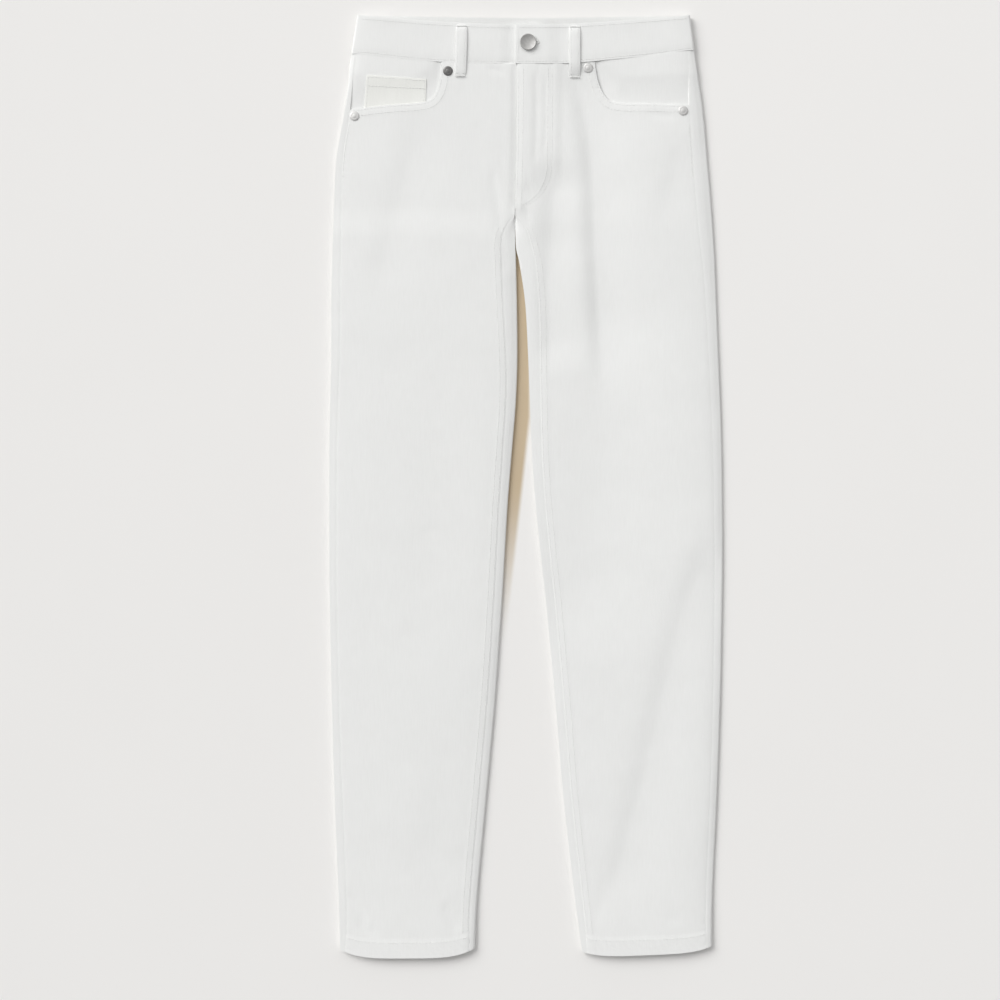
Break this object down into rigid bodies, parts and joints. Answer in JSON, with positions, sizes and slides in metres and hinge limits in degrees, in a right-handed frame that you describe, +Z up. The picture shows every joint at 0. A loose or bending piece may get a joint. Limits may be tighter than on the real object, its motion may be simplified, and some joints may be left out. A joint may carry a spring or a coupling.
{
  "type": "mom jeans",
  "caption": "High-waisted white denim jeans with tapered legs, front and back pockets, belt loops, fly and metal button, laid flat on their back.",
  "frame": {"origin": "middle of the jeans' outline, on the flat surface that they lie on", "axes": "+Z up from the surface, out of the front of the jeans; +Y towards the waist; +X towards the wearer's left"},
  "size_m": [0.394, 0.9425, 0.013],
  "materials": {
    "denim": "matt white cotton twill with a fine diagonal weave and white sewing",
    "zip_tape": "matt white woven tape with a closed row of teeth",
    "metal": "polished nickel-toned metal, lightly worn"
  },
  "bodies": {
    "root": {"front_right": "denim", "front_left": "denim", "back_right": "denim", "back_left": "denim", "yoke_right": "denim", "yoke_left": "denim", "waistband": "denim", "pocket_facing_right": "denim", "pocket_facing_left": "denim", "coin_pocket": "denim", "back_pocket_right": "denim", "back_pocket_left": "denim", "belt_loop_front_right": "denim", "belt_loop_front_left": "denim", "belt_loop_back_right": "denim", "belt_loop_back_centre": "denim", "belt_loop_back_left": "denim", "fly_zip": "zip_tape", "rivet_right_inner": "metal", "rivet_left_inner": "metal", "rivet_right_outer": "metal", "rivet_left_outer": "metal", "button": "metal"}
  },
  "joints": []
}
